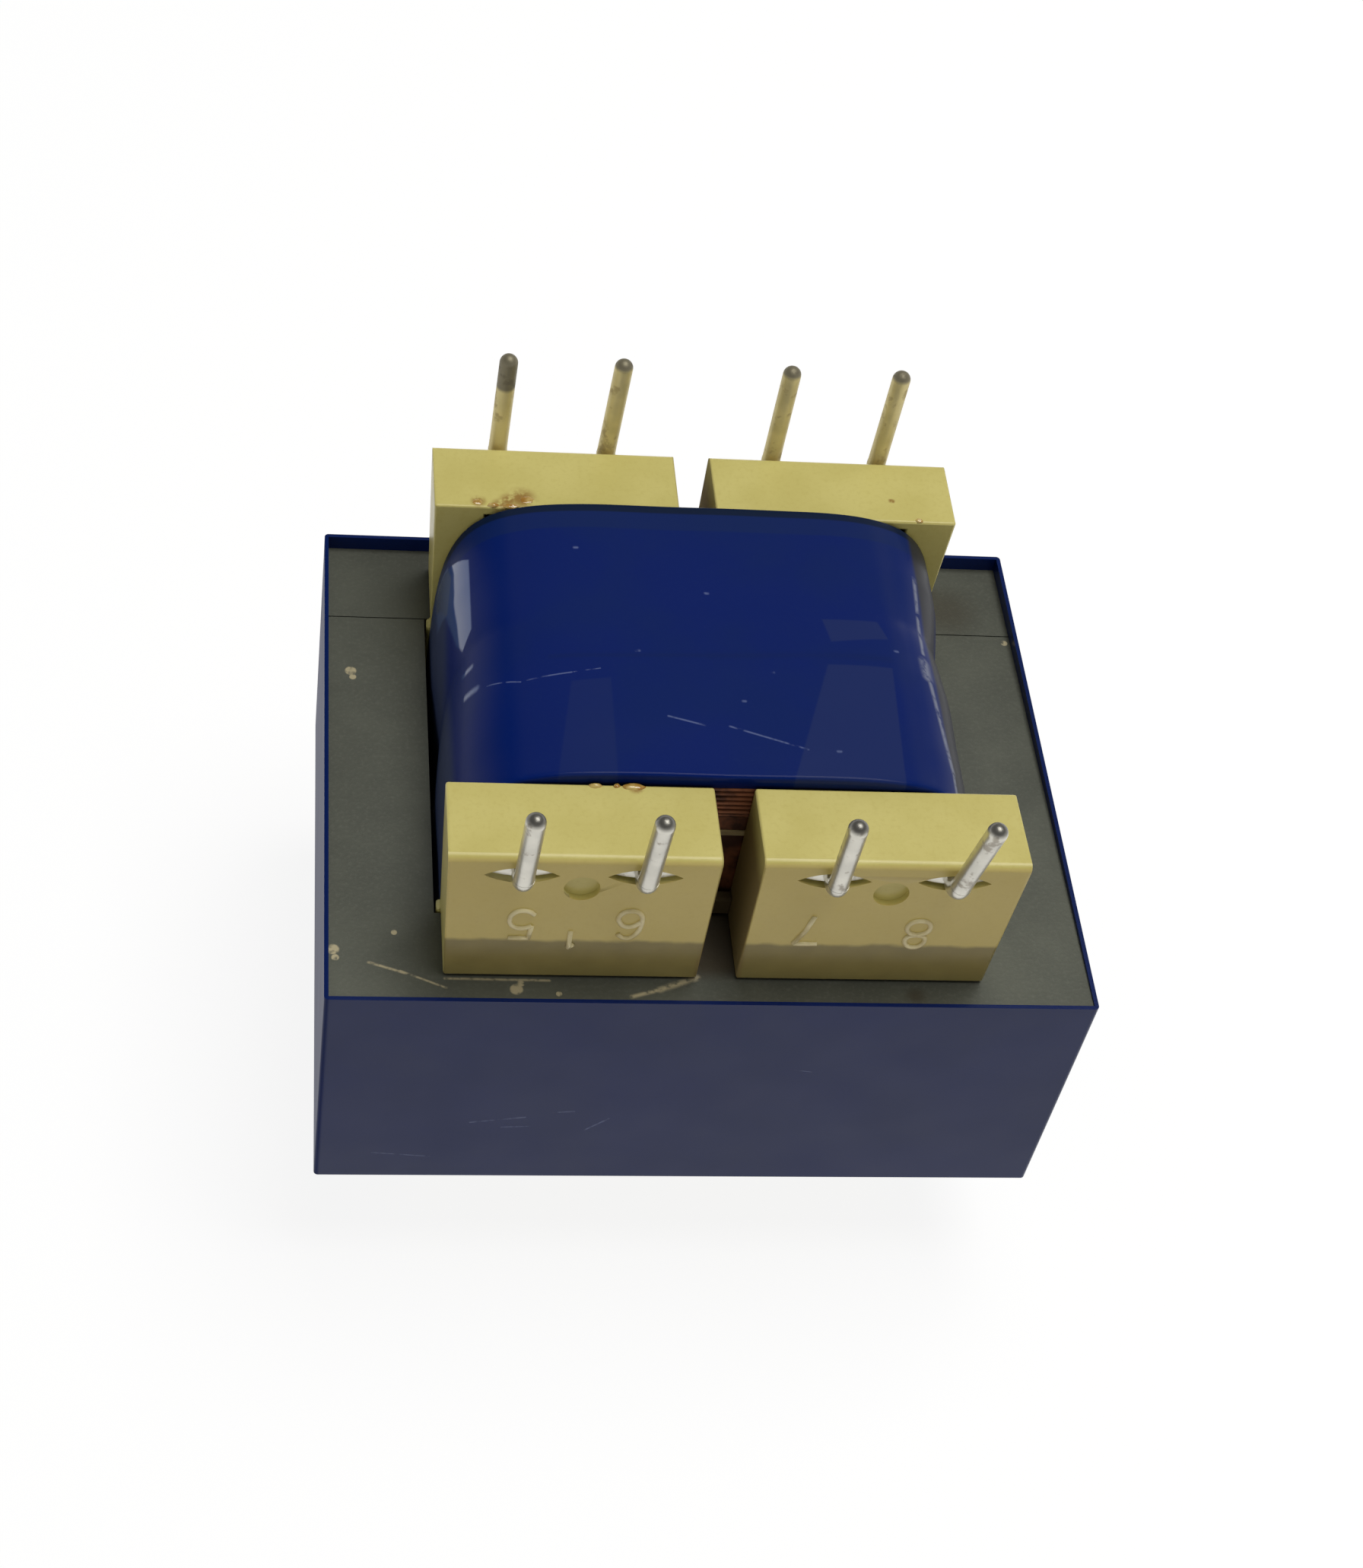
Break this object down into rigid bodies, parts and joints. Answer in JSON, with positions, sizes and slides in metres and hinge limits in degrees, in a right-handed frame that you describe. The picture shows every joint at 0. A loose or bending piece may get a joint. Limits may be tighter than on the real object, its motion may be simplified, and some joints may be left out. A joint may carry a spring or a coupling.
{
  "type": "pcb mains transformer",
  "caption": "Open-frame transformer for a printed board: stacked E and I core with a taped rim, moulded bobbin with terminal blocks, blue taped coil and bent pins.",
  "frame": {"origin": "centre of the bounding box on the plane of the flange feet, on which the transformer lies", "axes": "+X along the width of the core, +Y along the centre leg from the numbered front blocks to the back blocks, +Z the way the pins point"},
  "size_m": [0.0354, 0.0294, 0.0351],
  "materials": {
    "core_steel": "oxidised matt sheet steel",
    "rim_tape": "glossy polyester tape",
    "bobbin_plastic": "moulded, slightly glossy",
    "enamelled_copper": "enamelled wire",
    "barrier_film": "clear film",
    "coil_tape": "glossy polyester tape",
    "tinned_pin": "tinned wire",
    "solder": "solder"
  },
  "bodies": {
    "root": {"front_e_laminations": "core_steel", "back_i_laminations": "core_steel", "back_e_laminations": "core_steel", "front_i_laminations": "core_steel", "core_tape": "rim_tape", "bobbin": "bobbin_plastic", "primary_winding": "enamelled_copper", "winding_barrier": "barrier_film", "secondary_winding": "enamelled_copper", "coil_tape": "coil_tape", "terminal_pin_1": "tinned_pin", "terminal_pin_2": "tinned_pin", "terminal_pin_3": "tinned_pin", "terminal_pin_4": "tinned_pin", "terminal_pin_5": "tinned_pin", "terminal_pin_6": "tinned_pin", "terminal_pin_7": "tinned_pin", "terminal_pin_8": "tinned_pin", "solder_joint_1": "solder", "solder_joint_4": "solder", "solder_joint_6": "solder", "solder_joint_7": "solder"}
  },
  "joints": []
}
